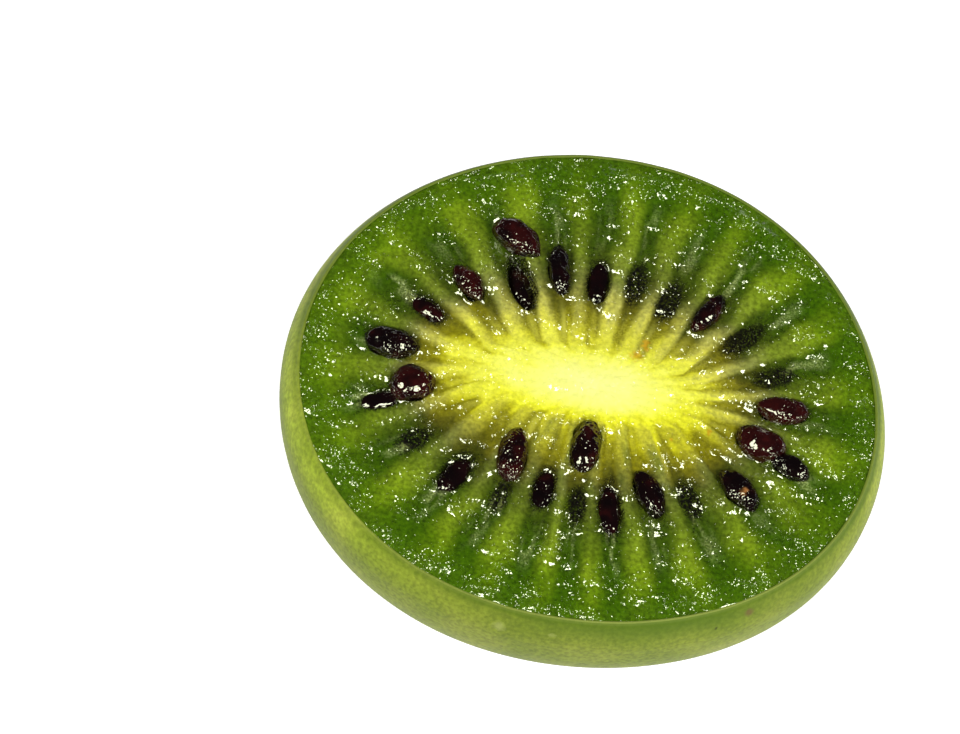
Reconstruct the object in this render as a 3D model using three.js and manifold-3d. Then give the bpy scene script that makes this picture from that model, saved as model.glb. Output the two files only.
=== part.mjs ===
// Hardy kiwi half, cut across the fruit and resting on its round skin side with the cut face up.
// Units are millimetres, +Z is up, X runs along the long side of the oval core, and the origin is the middle
// of the flat spot that the half rests on. The flesh holds the skin and the seeds that show at the cut, and
// the pale core is a plug of its own that runs down through the flesh.
import * as THREE from "three";
import { mergeVertices } from "three/addons/utils/BufferGeometryUtils.js";
import Module from "manifold-3d";

const wasm = await Module();
wasm.setup();

// Body
const FRUIT_LENGTH = 26.47; // widest section, along X
const FRUIT_WIDTH = 24.06; // widest section, along Y
const HEIGHT = 9.0; // resting spot to cut face
const BULGE_BELOW_CUT = 1.76; // how far the widest section lies under the cut
const RIM_SHARE = 0.956; // cut rim against the widest section
const FULLNESS = 2.27; // power of the lower body's superellipse, where 2 is an ellipse
const RESTING_SPOT = 5.2; // diameter of the flat spot
// Slow swellings round the fruit: how many, their height as a share of the radius, and where one peaks
const LOBES = [[2, 0.0056, 45], [3, 0.0086, -35.6], [4, 0.0055, -32.4]];

// Skin edge at the cut
const SKIN_EDGE = 0.22; // width of the skin's cut edge
const SKIN_PROUD = 0.1; // how far it stands over the flesh beside it

// Core
const CORE_LENGTH = 9.9; // along X, at the cut
const CORE_WIDTH = 3.8; // along Y, at the cut
const CORE_SCALLOP = 0.12; // the core swells by this share where a ray leaves it
const CORE_FLOOR = 1.6; // height of the flesh left under the core
const CORE_TAPER = 0.35; // size of the core's foot against its top
const CORE_CROWN = 0.18; // how far the core's middle stands over the cut
const CORE_GAP = 0.3; // clearance between core and flesh

// Rays and locules: pale walls run out from the core, and each dark chamber between two of them holds seeds
const LOCULE_COUNT = 23;
const FIRST_LOCULE = THREE.MathUtils.degToRad(1.85);
const LOCULE_BUNCHING = THREE.MathUtils.degToRad(8.25); // they crowd along the core's long sides
const BUNCHING_TURN = THREE.MathUtils.degToRad(5.6);
const LOCULE_LEAN = THREE.MathUtils.degToRad(3.9); // and a little more towards one end
const LEAN_TURN = THREE.MathUtils.degToRad(-125);
const LOCULE_DEPTH = 0.2; // how far a locule sinks below the rays
const LOCULE_START = 0.02; // from here, as a share of the way from core to rim,
const LOCULE_END = 0.92; // to here

// Seeds
const SEED_LENGTH = 2.3;
const SEED_WIDTH = 1.15;
const SEED_THICKNESS = 0.9;
const SEED_TAPER = 0.3; // the end towards the core is slimmer by this share
const SEED_SIZE_SPREAD = 0.12;
const PROUD_LIFT = 0.05; // height of the seed's middle over the cut, for a seed that lies bare
const HALF_SUNK_LIFT = -0.15; // and for one that the flesh half covers
const SEED_SIDES = 8;
const SEED_RINGS = 6;
// Each row is a locule, counted anticlockwise from +X, and the seed's reach from core (0) to rim (1).
const PROUD_SEEDS = [
  [0.1, 0.455], [3, 0.39], [7, 0.39], [9, 0.415], [11, 0.5], [12, 0.37], [14.85, 0.26], [17, 0.21], [19, 0.36],
  [21, 0.48], [22, 0.375], [22, 0.62],
];
const HALF_SUNK_SEEDS = [[6, 0.345], [10, 0.42], [12, 0.6], [14, 0.5], [16, 0.38], [18, 0.44]];
const STRAY_SEED = [7.75, 0.56]; // pushed out of its chamber, so it lies across the ray
const STRAY_TURN = THREE.MathUtils.degToRad(42);

// Fineness of the faceted surfaces
const STEPS_PER_LOCULE = 5;
const LOWER_RINGS = 9;
const UPPER_RINGS = 3;
const FACE_RINGS = 11;
const POCKET_RINGS = 3;
const CROWN_RINGS = 4;

// Directions round the fruit. A phase turns evenly from locule to locule, and an angle is its true direction.
const loculePhase = (locule) => FIRST_LOCULE + (locule * 2 * Math.PI) / LOCULE_COUNT;
const angleAt = (phase) =>
  phase + LOCULE_BUNCHING * Math.sin(2 * phase + BUNCHING_TURN) + LOCULE_LEAN * Math.sin(phase + LEAN_TURN);
// 0 along the middle of a locule and 1 along the middle of a ray
const rayness = (phase) => 0.5 - 0.5 * Math.cos(LOCULE_COUNT * (phase - FIRST_LOCULE));

const onEllipse = (length, width, angle) =>
  new THREE.Vector2((length / 2) * Math.cos(angle), (width / 2) * Math.sin(angle));
// The radius against a plain oval's
function lobes(angle) {
  return LOBES.reduce((radius, [count, swell, turn]) => {
    const offset = angle - THREE.MathUtils.degToRad(turn);
    return radius + swell * Math.cos(count * offset);
  }, 1);
}

// The fruit's plan at a share of its widest section
function bodyPlan(share, phase) {
  const angle = angleAt(phase);
  return onEllipse(FRUIT_LENGTH, FRUIT_WIDTH, angle).multiplyScalar(share * lobes(angle));
}

// The core's plan at the cut, grown or shrunk by a margin
function corePlan(margin, phase) {
  const swell = 1 + CORE_SCALLOP * rayness(phase);
  return onEllipse(CORE_LENGTH * swell + 2 * margin, CORE_WIDTH * swell + 2 * margin, angleAt(phase));
}

// A place on the cut face, where reach runs from 0 at the core to 1 at the inside of the skin
function facePlan(reach, phase) {
  const rim = bodyPlan(RIM_SHARE, phase);
  rim.setLength(rim.length() - SKIN_EDGE);
  return corePlan(CORE_GAP / 2, phase).lerp(rim, reach);
}

// Locules sink between the rays, most where the seeds lie.
function faceHeight(reach, phase) {
  const along = THREE.MathUtils.clamp((reach - LOCULE_START) / (LOCULE_END - LOCULE_START), 0, 1);
  const sink = LOCULE_DEPTH * Math.sin(Math.PI * along) * (1 - rayness(phase));
  return HEIGHT - sink - SKIN_PROUD * reach ** 8;
}

// A closed body from rings, each a function of phase that gives a point. The end rings are single points.
function ringBody(rings, stepCount) {
  const last = rings.length - 1;
  const outline = rings.map((_, index) => new THREE.Vector2(index === 0 || index === last ? 0 : 1, index));
  const body = new THREE.LatheGeometry(outline, stepCount);
  const position = body.getAttribute("position");
  for (let vertex = 0; vertex < position.count; vertex++) {
    const phase = (Math.floor(vertex / rings.length) * 2 * Math.PI) / stepCount;
    const point = rings[vertex % rings.length](phase);
    position.setXYZ(vertex, point.x, point.y, point.z);
  }
  return body;
}

const ring = (plan, height) => (phase) => {
  const at = plan(phase);
  return new THREE.Vector3(at.x, at.y, height(phase));
};
const axisPoint = (height) => () => new THREE.Vector3(0, 0, height);
const level = (height) => () => height;
// Even steps from 0 to 1, without the start
const steps = (count) => Array.from({ length: count }, (_, index) => (index + 1) / count);

// Skin: flat spot, lower body up to the widest section, then in again to the cut rim
function skinRings() {
  const spot = RESTING_SPOT / FRUIT_LENGTH;
  const bulgeHeight = HEIGHT - BULGE_BELOW_CUT;
  const lowerDepth = bulgeHeight / (1 - spot ** FULLNESS) ** (1 / FULLNESS);
  const spotAngle = Math.asin((spot ** FULLNESS) ** 0.5);
  const upperDepth = BULGE_BELOW_CUT / Math.sqrt(1 - RIM_SHARE ** 2);
  const lower = steps(LOWER_RINGS).map((part) => {
    const turn = THREE.MathUtils.lerp(spotAngle, Math.PI / 2, part);
    const share = Math.sin(turn) ** (2 / FULLNESS);
    const height = bulgeHeight - lowerDepth * Math.max(Math.cos(turn), 0) ** (2 / FULLNESS);
    return ring((phase) => bodyPlan(share, phase), level(height));
  });
  const upper = steps(UPPER_RINGS).map((part) => {
    const rise = BULGE_BELOW_CUT * part;
    const share = Math.sqrt(1 - (rise / upperDepth) ** 2);
    return ring((phase) => bodyPlan(share, phase), level(bulgeHeight + rise));
  });
  return [axisPoint(0), ring((phase) => bodyPlan(spot, phase), level(0)), ...lower, ...upper];
}

// Cut face from the skin's edge in to the core
function faceRings() {
  return [0, ...steps(FACE_RINGS)].map((part) => {
    const reach = 1 - part;
    return ring((phase) => facePlan(reach, phase), (phase) => faceHeight(reach, phase));
  });
}

// Pocket that the core sits in: its wall tapers down to a floor above the resting spot
function pocketRings() {
  const walls = steps(POCKET_RINGS).map((part) => {
    const share = THREE.MathUtils.lerp(1, CORE_TAPER, part ** 2);
    const height = THREE.MathUtils.lerp(HEIGHT, CORE_FLOOR, part);
    return ring((phase) => corePlan(CORE_GAP / 2, phase).multiplyScalar(share), level(height));
  });
  return [...walls, axisPoint(CORE_FLOOR)];
}

// The core, clear of its pocket all round, with a low crown at the cut
function coreBody() {
  const foot = CORE_FLOOR + CORE_GAP;
  const walls = [0, ...steps(POCKET_RINGS)].map((part) => {
    const share = THREE.MathUtils.lerp(1, CORE_TAPER, (1 - part) ** 2);
    const height = THREE.MathUtils.lerp(foot, HEIGHT, part);
    return ring((phase) => corePlan(-CORE_GAP / 2, phase).multiplyScalar(share), level(height));
  });
  const crown = steps(CROWN_RINGS).slice(0, -1).map((part) => {
    const height = HEIGHT + CORE_CROWN * (1 - (1 - part) ** 2);
    return ring((phase) => corePlan(-CORE_GAP / 2, phase).multiplyScalar(1 - part), level(height));
  });
  return ringBody([axisPoint(foot), ...walls, ...crown, axisPoint(HEIGHT + CORE_CROWN)], LOCULE_COUNT * 3);
}

// The same sequence of numbers from 0 to 1 on every run
function seededNumbers(seed) {
  let state = seed;
  return () => {
    state = (state * 16807) % 2147483647;
    return state / 2147483647;
  };
}
const nextNumber = seededNumbers(23);

// A plump seed with a slimmer inner end, lying along its locule on the cut face
function seedBody([locule, reach], lift, turn = 0) {
  const seed = new THREE.SphereGeometry(1, SEED_SIDES, SEED_RINGS);
  const position = seed.getAttribute("position");
  for (let vertex = 0; vertex < position.count; vertex++) {
    const outward = position.getY(vertex);
    const slim = 1 - SEED_TAPER * Math.max(-outward, 0) ** 2;
    position.setXYZ(vertex, position.getX(vertex) * slim, outward, position.getZ(vertex) * slim);
  }
  const size = 1 + SEED_SIZE_SPREAD * (2 * nextNumber() - 1);
  seed.scale((SEED_WIDTH / 2) * size, (SEED_LENGTH / 2) * size, (SEED_THICKNESS / 2) * size);
  const phase = loculePhase(locule);
  const here = facePlan(reach, phase);
  const outward = facePlan(1, phase).sub(here).normalize().rotateAround(new THREE.Vector2(), turn);
  const along = new THREE.Vector3(outward.x, outward.y, 0);
  const up = new THREE.Vector3(0, 0, 1);
  const side = new THREE.Vector3().crossVectors(along, up);
  const place = new THREE.Matrix4().makeBasis(side, along, up).setPosition(here.x, here.y, HEIGHT + lift);
  return seed.applyMatrix4(place);
}

function solidOf(geometry) {
  const bare = geometry.clone();
  bare.deleteAttribute("normal");
  bare.deleteAttribute("uv");
  const merged = mergeVertices(bare, 1e-4);
  return new wasm.Manifold(
    new wasm.Mesh({
      numProp: 3,
      vertProperties: merged.getAttribute("position").array,
      triVerts: new Uint32Array(merged.index.array),
    }),
  );
}

function geometryOf(solid) {
  const mesh = solid.getMesh();
  const geometry = new THREE.BufferGeometry();
  geometry.setAttribute("position", new THREE.BufferAttribute(mesh.vertProperties, 3));
  geometry.setIndex(new THREE.BufferAttribute(mesh.triVerts, 1));
  geometry.computeVertexNormals();
  return geometry;
}

// Flesh with its skin, and the seeds that show fused into it
function fleshBody() {
  const rings = [...skinRings(), ...faceRings(), ...pocketRings()];
  const seeds = [
    ...PROUD_SEEDS.map((seed) => seedBody(seed, PROUD_LIFT)),
    ...HALF_SUNK_SEEDS.map((seed) => seedBody(seed, HALF_SUNK_LIFT)),
    seedBody(STRAY_SEED, PROUD_LIFT, STRAY_TURN),
  ];
  const bare = solidOf(ringBody(rings, LOCULE_COUNT * STEPS_PER_LOCULE));
  return geometryOf(seeds.reduce((joined, seed) => joined.add(solidOf(seed)), bare));
}

function namedMesh(name, geometry, color, roughness) {
  const mesh = new THREE.Mesh(geometry, new THREE.MeshStandardMaterial({ color, roughness, metalness: 0 }));
  mesh.name = name;
  return mesh;
}

const kiwiHalf = new THREE.Group();
kiwiHalf.add(namedMesh("flesh", fleshBody(), 0x74902c, 0.35));
kiwiHalf.add(namedMesh("core", coreBody(), 0xf4f27c, 0.4));

export default kiwiHalf;
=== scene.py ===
# %% [markdown]
# # A hardy kiwi half
# A hardy kiwi is a kiwi the size of a large grape, with a smooth skin that is eaten with the fruit. This
# half was cut across, so its cut face shows a pale core, rays that run out from it, and dark seeds in the
# chambers between the rays. The CAD frame gives the solids at their real size. Each of them is replaced
# here by pieces with the finish of the real fruit. Everything is in metres, with Z up.

# %% Load the frame
import math

import bpy
import numpy as np
from mathutils import Matrix, Vector


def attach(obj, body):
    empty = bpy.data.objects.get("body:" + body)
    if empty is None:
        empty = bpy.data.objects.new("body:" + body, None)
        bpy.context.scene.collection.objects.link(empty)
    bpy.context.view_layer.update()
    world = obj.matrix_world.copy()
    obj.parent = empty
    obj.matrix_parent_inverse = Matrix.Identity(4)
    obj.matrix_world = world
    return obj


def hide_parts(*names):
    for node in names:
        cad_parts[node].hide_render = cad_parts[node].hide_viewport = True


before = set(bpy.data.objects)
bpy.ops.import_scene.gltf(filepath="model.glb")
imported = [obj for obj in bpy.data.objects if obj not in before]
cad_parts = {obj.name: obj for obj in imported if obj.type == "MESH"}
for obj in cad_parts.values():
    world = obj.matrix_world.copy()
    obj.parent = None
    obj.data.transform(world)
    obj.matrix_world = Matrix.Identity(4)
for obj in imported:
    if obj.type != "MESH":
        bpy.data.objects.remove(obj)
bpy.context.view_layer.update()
MM = 0.001
print("CAD nodes:", sorted(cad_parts))

# %% [markdown]
# ## Camera
# The photograph was taken from above and in front with a long lens, turned a little about its line of
# sight, so the oval face seems to lean. Three unit vectors give the camera's own directions: back towards
# the lens, right and up. The eye is then moved sideways, so that the middle of the face lands on its own
# pixel without any lens shift.

# %% Camera
FRAME_WIDTH, FRAME_HEIGHT = 960, 734
FACE_PIXEL_X, FACE_PIXEL_Y = 590.4, 384.7
PIXELS_PER_MM = 23.26
CAMERA_DISTANCE = 220 * MM
CAMERA_AZIMUTH = math.radians(-5.0)
CAMERA_ELEVATION = math.radians(60.5)
CAMERA_ROLL = math.radians(13.5)
SENSOR_WIDTH = 36.0
CUT_HEIGHT = 9.0 * MM


def direction(azimuth, elevation):
    """The unit vector from the fruit towards a place round it. Azimuth 0 is in front, at -Y."""
    flat = math.cos(elevation)
    return Vector((math.sin(azimuth) * flat, -math.cos(azimuth) * flat, math.sin(elevation)))


camera_back = direction(CAMERA_AZIMUTH, CAMERA_ELEVATION)
level_right = Vector((math.cos(CAMERA_AZIMUTH), math.sin(CAMERA_AZIMUTH), 0))
level_up = camera_back.cross(level_right)
camera_right = math.cos(CAMERA_ROLL) * level_right + math.sin(CAMERA_ROLL) * level_up
camera_up = math.cos(CAMERA_ROLL) * level_up - math.sin(CAMERA_ROLL) * level_right
eye = Vector((0, 0, CUT_HEIGHT)) + CAMERA_DISTANCE * camera_back
eye -= camera_right * (FACE_PIXEL_X - FRAME_WIDTH / 2) / PIXELS_PER_MM * MM
eye += camera_up * (FACE_PIXEL_Y - FRAME_HEIGHT / 2) / PIXELS_PER_MM * MM

bpy.ops.object.camera_add(location=eye)
camera = bpy.context.object
camera.name = "camera"
camera.rotation_euler = Matrix((camera_right, camera_up, camera_back)).transposed().to_euler()
camera.data.sensor_width = SENSOR_WIDTH
camera.data.lens = PIXELS_PER_MM * CAMERA_DISTANCE / MM * SENSOR_WIDTH / FRAME_WIDTH
camera.data.clip_start = 10 * MM
bpy.context.scene.camera = camera
print("lens in mm:", round(camera.data.lens, 1))

# %% [markdown]
# ## Floor and light
# The fruit stands on plain white paper. Wet pulp sparkles where a tiny facet mirrors a lamp, so two fairly
# small lamps stand in front, left and right of the camera. Two broad ones, low at the sides, fill the
# back. Nothing bright stands where the flat cut face would mirror it into the lens, because that would lay
# a milky veil over the deep greens. The lamps are warm, so the paper is a little blue and glows a little,
# and comes out white. Each lamp's power comes from how bright a white sheet would look if it faced it.

# %% Floor and light
FLOOR_SIZE = 2.0
FLOOR_GAP = 0.01 * MM
PAPER_COLOUR = (0.86, 0.83, 1.0, 1)
PAPER_ROUGHNESS = 0.9
GLOW_COLOUR = (0.9, 0.9, 1.0, 1)
PAPER_GLOW = 0.56
WHITE = (1, 1, 1, 1)
WORLD_BRIGHTNESS = 0.02
WARM, PLAIN = (1.0, 1.04, 0.74), (1.0, 1.0, 1.0)
# Name, azimuth and elevation in degrees, distance and side in metres, brightness on white paper, colour,
# and whether wet things mirror it
LAMPS = (
    ("left lamp", -48, 48, 0.36, 0.15, 0.75, WARM, True),
    ("right lamp", 42, 50, 0.36, 0.13, 0.62, WARM, True),
    ("left fill", -140, 12, 0.5, 0.3, 0.4, WARM, False),
    ("right fill", 88, 10, 0.5, 0.3, 0.85, PLAIN, False),
)


def lamp(name, azimuth, elevation, distance, side, brightness, colour, mirrored):
    """A square lamp that faces the fruit."""
    towards = direction(math.radians(azimuth), math.radians(elevation))
    bpy.ops.object.light_add(type="AREA", location=towards * distance)
    made = bpy.context.object
    made.name = name
    made.rotation_euler = towards.to_track_quat("Z", "Y").to_euler()
    made.data.size = side
    made.data.color = colour
    made.data.energy = brightness * (math.pi * distance) ** 2
    made.visible_glossy = mirrored


def set_inputs(shader, values):
    for name, value in values.items():
        shader.inputs[name].default_value = value


bpy.ops.object.select_all(action="DESELECT")
bpy.ops.mesh.primitive_plane_add(size=FLOOR_SIZE, location=(0, 0, -FLOOR_GAP))
floor = bpy.context.object
floor.name = "floor"
paper = bpy.data.materials.new("white paper")
paper.use_nodes = True
set_inputs(paper.node_tree.nodes["Principled BSDF"], {
    "Base Color": PAPER_COLOUR, "Roughness": PAPER_ROUGHNESS,
    "Emission Color": GLOW_COLOUR, "Emission Strength": PAPER_GLOW,
})
floor.data.materials.append(paper)

for row in LAMPS:
    lamp(*row)
world = bpy.data.worlds.new("studio")
bpy.context.scene.world = world
world.use_nodes = True
set_inputs(world.node_tree.nodes["Background"], {"Color": WHITE, "Strength": WORLD_BRIGHTNESS})
bpy.context.scene.view_settings.view_transform = "Standard"
print("lamps:", [row[0] for row in LAMPS])

# %% [markdown]
# ## The plan of the fruit
# Seen from above, the fruit is an oval with a few slow swellings. Everything on the cut face is laid out
# between the core's edge and the skin: a reach of 0 lies on the core's edge and 1 on the skin. Round the
# fruit a phase turns evenly from one seed chamber to the next. The chambers crowd along the core's long
# sides, so the phase is bent into the true angle. Working in reach and phase lets each ray and chamber be
# described once for all 23.

# %% Plan
FRUIT_LENGTH = 26.47 * MM
FRUIT_WIDTH = 24.06 * MM
BULGE_BELOW_CUT = 1.76 * MM
RIM_SHARE = 0.956
FULLNESS = 2.27
RESTING_SPOT = 5.2 * MM
# Slow swellings: how many, their height as a share of the radius, and where one stands out most
LOBES = ((2, 0.0056, 45.0), (3, 0.0086, -35.6), (4, 0.0055, -32.4))
SKIN_THICKNESS = 0.12 * MM
CORE_LENGTH = 9.9 * MM
CORE_WIDTH = 3.8 * MM
CORE_SCALLOP = 0.12
CHAMBER_COUNT = 23
FIRST_CHAMBER = math.radians(1.85)
CHAMBER_BUNCHING = math.radians(8.25)
BUNCHING_TURN = math.radians(5.6)
CHAMBER_LEAN = math.radians(3.9)
LEAN_TURN = math.radians(-125)


def chamber_phase(chamber):
    return FIRST_CHAMBER + chamber * math.tau / CHAMBER_COUNT


def angle_at(phase):
    bunching = CHAMBER_BUNCHING * np.sin(2 * phase + BUNCHING_TURN)
    return phase + bunching + CHAMBER_LEAN * np.sin(phase + LEAN_TURN)


def facing(phase, turn, sharpness=1):
    """1 on the side of the fruit that lies at a turn in degrees, and 0 on the opposite side."""
    return (0.5 + 0.5 * np.cos(angle_at(phase) - math.radians(turn))) ** sharpness


def nearness(phase):
    """1 on the near side of the fruit, at -Y, and -1 on its far side."""
    return -np.sin(angle_at(phase))


def oval(length, width, angle):
    return np.stack([length / 2 * np.cos(angle), width / 2 * np.sin(angle)])


def body_plan(share, phase, margin=0.0):
    """The fruit's outline at a share of its widest section, taken in by a margin."""
    angle = angle_at(phase)
    swells = sum(swell * np.cos(count * (angle - math.radians(turn))) for count, swell, turn in LOBES)
    scale = share * (1 + swells)
    return oval(FRUIT_LENGTH * scale - 2 * margin, FRUIT_WIDTH * scale - 2 * margin, angle)


def core_plan(phase):
    ray = 0.5 - 0.5 * np.cos(CHAMBER_COUNT * (phase - FIRST_CHAMBER))
    swell = 1 + CORE_SCALLOP * ray
    return oval(CORE_LENGTH * swell, CORE_WIDTH * swell, angle_at(phase))


def face_plan(reach, phase):
    core = core_plan(phase)
    return core + reach * (body_plan(RIM_SHARE, phase, SKIN_THICKNESS) - core)


print("fruit in mm:", round(FRUIT_LENGTH / MM, 2), "by", round(FRUIT_WIDTH / MM, 2))

# %% [markdown]
# ## Turning a blank
# The skin, the flesh and the core are all round things, so each starts as a blank on a lathe: a profile is
# drawn by extruding one corner from point to point, and spun once round the upright axis. Each point of
# the profile gets a station number, which the spin copies to the whole ring. The blank's rings are then
# pulled to the fruit's real outline, as clay is pushed out of round by hand.

# %% Lathe
MERGE_GAP = 0.002 * MM
SHARP_ANGLE = math.radians(70)


def turned_blank(name, profile, steps):
    """Spin (radius, height) points into a closed blank, with each ring's station on its corners."""
    bpy.ops.object.select_all(action="DESELECT")
    bpy.ops.mesh.primitive_plane_add(size=MM, location=(0, 0, 0))
    blank = bpy.context.object
    blank.name = name
    bpy.ops.object.mode_set(mode="EDIT")
    bpy.ops.mesh.merge(type="CENTER")
    bpy.ops.transform.translate(value=(profile[0][0], 0, profile[0][1]))
    for before, after in zip(profile, profile[1:]):
        step = (after[0] - before[0], 0, after[1] - before[1])
        bpy.ops.mesh.extrude_vertices_move(TRANSFORM_OT_translate={"value": step})
    bpy.ops.object.mode_set(mode="OBJECT")
    station = blank.data.attributes.new("station", "INT", "POINT")
    station.data.foreach_set("value", range(len(profile)))
    bpy.ops.object.mode_set(mode="EDIT")
    bpy.ops.mesh.select_all(action="SELECT")
    bpy.ops.mesh.spin(steps=steps, angle=math.tau, center=(0, 0, 0), axis=(0, 0, 1))
    bpy.ops.mesh.select_all(action="SELECT")
    bpy.ops.mesh.remove_doubles(threshold=MERGE_GAP)
    bpy.ops.mesh.normals_make_consistent(inside=False)
    bpy.ops.object.mode_set(mode="OBJECT")
    return blank


def steps_between(start, end, count):
    """Evenly set numbers after start, up to and with end."""
    return [start + (end - start) * (index + 1) / count for index in range(count)]


print("lathe ready, merging corners closer than", MERGE_GAP / MM, "mm")


# %% Corners of a piece
def corners(piece):
    """Every corner of a mesh as one array, with its phase round the upright axis."""
    place = np.empty(len(piece.data.vertices) * 3)
    piece.data.vertices.foreach_get("co", place)
    place = place.reshape(-1, 3)
    return place, np.arctan2(place[:, 1], place[:, 0])


def stations(piece):
    found = np.empty(len(piece.data.vertices), dtype=np.int32)
    piece.data.attributes["station"].data.foreach_get("value", found)
    return found


def put_corners(piece, place):
    piece.data.vertices.foreach_set("co", place.ravel())
    piece.data.update()


def smooth_shade(piece):
    """Smooth all over, but with a crisp edge where the cut face turns down into a wall."""
    bpy.ops.object.select_all(action="DESELECT")
    piece.select_set(True)
    bpy.context.view_layer.objects.active = piece
    bpy.ops.object.shade_smooth_by_angle(angle=SHARP_ANGLE)


def paint(piece, name, values):
    """Store one number on each corner, for the piece's material to read."""
    layer = piece.data.attributes.new(name, "FLOAT", "POINT")
    layer.data.foreach_set("value", np.asarray(values, dtype=np.float32))


def triangles(piece):
    return sum(len(face.vertices) - 2 for face in piece.data.polygons)


print("crisp edges from degrees:", round(math.degrees(SHARP_ANGLE)))

# %% [markdown]
# ## Patterns that repeat on every run
# Pulp, skin and seed coats are uneven, but the script has to give the same fruit each time. A lattice
# turns whole numbers into steady random ones. Hills are a smooth surface through them, and pearls are the
# round grains that lie closest to scattered points. A pattern laid round the fruit closes on itself after
# a number of rows.

# %% Patterns
NEVER_CLOSES = 1 << 20


def lattice(column, row, seed, around=NEVER_CLOSES):
    """Numbers from 0 to 1 that look random: whole numbers are scrambled by large primes."""
    column = column.astype(np.int64)
    row = np.mod(row, around).astype(np.int64)
    mixed = column * 73856093 ^ row * 19349663 ^ seed * 83492791
    mixed = (mixed ^ (mixed >> 13)) * 1274126177 & 0x7FFFFFFF
    return ((mixed ^ (mixed >> 15)) & 0xFFFF) / 65535


def smooth(start, end, value):
    """0 before start, 1 after end, with a soft rise between."""
    part = np.clip((value - start) / (end - start), 0, 1)
    return part * part * (3 - 2 * part)


def belt(value, start, full, fade, gone):
    """1 between full and fade, 0 before start and after gone."""
    return smooth(start, full, value) * (1 - smooth(fade, gone, value))


def hills(across, along, seed, around=NEVER_CLOSES):
    """Smooth random heights from 0 to 1, about one hill to a unit."""
    column = np.floor(across)
    row = np.floor(along)
    right = smooth(0, 1, across - column)
    far = smooth(0, 1, along - row)
    near_left, near_right = (lattice(column + step, row, seed, around) for step in (0, 1))
    far_left, far_right = (lattice(column + step, row + 1, seed, around) for step in (0, 1))
    near_side = near_left * (1 - right) + near_right * right
    far_side = far_left * (1 - right) + far_right * right
    return near_side * (1 - far) + far_side * far


def uneven(x, y, size, seed):
    """Hills of one size, from -0.5 to 0.5."""
    return hills(x / size, y / size, seed) - 0.5


def ring_hills(across, phase, rows, seed):
    """Hills laid round the fruit in a number of rows, so that they close on themselves."""
    return hills(across, phase / math.tau * rows, seed, rows)


def pearls(across, along, seed):
    """Round grains, about one to a unit: 1 on the middle of a grain, falling to 0 between them."""
    nearest = np.full(np.shape(across), 4.0)
    for side in (-1, 0, 1):
        for ahead in (-1, 0, 1):
            column = np.floor(across) + side
            row = np.floor(along) + ahead
            gap_x = column + lattice(column, row, seed) - across
            gap_y = row + lattice(column, row, seed + 1) - along
            nearest = np.minimum(nearest, gap_x**2 + gap_y**2)
    return np.clip(1 - nearest, 0, 1)


print("a hill in the pattern:", round(float(hills(np.array(0.5), np.array(0.5), 1)), 3))

# %% [markdown]
# ## Seeds on the cut face
# Every chamber holds seeds in its inner half. Some lie bare, some are half covered by the flesh, and some
# are only dark shapes under it. One was pushed out of its chamber by the knife and lies across a ray, over
# the hollow that it left. Each row gives the chamber, counted anticlockwise from +X, the reach, and the
# seed's length and width in millimetres. A chamber with a fraction means that the seed lies off its
# middle, and a fifth number turns the seed by so many degrees.

# %% Seed places
BARE_SEEDS = (
    (0.1, 0.455, 2.25, 1.28), (3, 0.37, 2.3, 1.0), (7, 0.385, 2.5, 1.0), (9, 0.415, 1.98, 1.08),
    (11, 0.5, 2.4, 1.46), (11.9, 0.375, 2.0, 1.7), (14.85, 0.26, 2.65, 1.32, 18),
    (17.1, 0.12, 2.6, 1.36, -5), (19.1, 0.36, 2.35, 1.16, 11), (21, 0.48, 2.35, 1.22),
    (22.15, 0.375, 2.25, 1.58), (22, 0.59, 1.9, 1.02),
)
HALF_SUNK_SEEDS = (
    (6, 0.33, 2.45, 1.02), (10, 0.42, 1.95, 1.0), (12.1, 0.57, 1.85, 1.0), (14, 0.5, 2.35, 1.15),
    (16, 0.38, 2.1, 1.0), (18, 0.43, 2.7, 1.08),
)
SUNK_SEEDS = (
    (0.9, 0.44, 2.0, 1.05), (2, 0.4, 2.5, 1.05), (4, 0.335, 2.45, 1.1), (5, 0.37, 2.4, 0.95),
    (13, 0.51, 1.85, 1.1), (15.05, 0.485, 1.8, 0.8), (17.05, 0.43, 2.0, 0.85), (20, 0.425, 2.1, 1.0),
)
STRAY_SEED = (7.75, 0.56, 2.45, 1.55, 42)
HOLLOW = (7.9, 0.34, 2.9, 1.2)
# How far the middle of a seed lies above the cut, in millimetres
BARE_LIFT = 0.1
STRAY_LIFT = 0.22
HALF_SUNK_LIFT = -0.26
SUNK_LIFT = -0.75
HOLLOW_LIFT = -0.85


def seed_row(row, lift):
    """One seed's place on the face, the way it points, and its sizes, all in millimetres."""
    chamber, reach, length, width, *turn = row
    phase = np.array(chamber_phase(chamber))
    x, y = face_plan(reach, phase) / MM
    rim_x, rim_y = face_plan(1, phase) / MM
    heading = math.atan2(rim_y - y, rim_x - x) + math.radians(sum(turn))
    return {"x": x, "y": y, "heading": heading, "length": length, "width": width, "lift": lift}


seeds_bare = [seed_row(row, BARE_LIFT) for row in BARE_SEEDS]
stray = seed_row(STRAY_SEED, STRAY_LIFT)
seeds_half = [seed_row(row, HALF_SUNK_LIFT) for row in HALF_SUNK_SEEDS]
seeds_sunk = [seed_row(row, SUNK_LIFT) for row in SUNK_SEEDS]
hollow = seed_row(HOLLOW, HOLLOW_LIFT)


def seed_distance(seed, x, y):
    """0 in the middle of a seed and 1 on its outline, for places given in millimetres."""
    ahead, aside = math.cos(seed["heading"]), math.sin(seed["heading"])
    along = (x - seed["x"]) * ahead + (y - seed["y"]) * aside
    across = (y - seed["y"]) * ahead - (x - seed["x"]) * aside
    return np.hypot(along / (seed["length"] / 2), across / (seed["width"] / 2))


print("seeds:", len(seeds_bare) + 1, "bare,", len(seeds_half), "half sunk,", len(seeds_sunk), "sunk")

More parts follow.
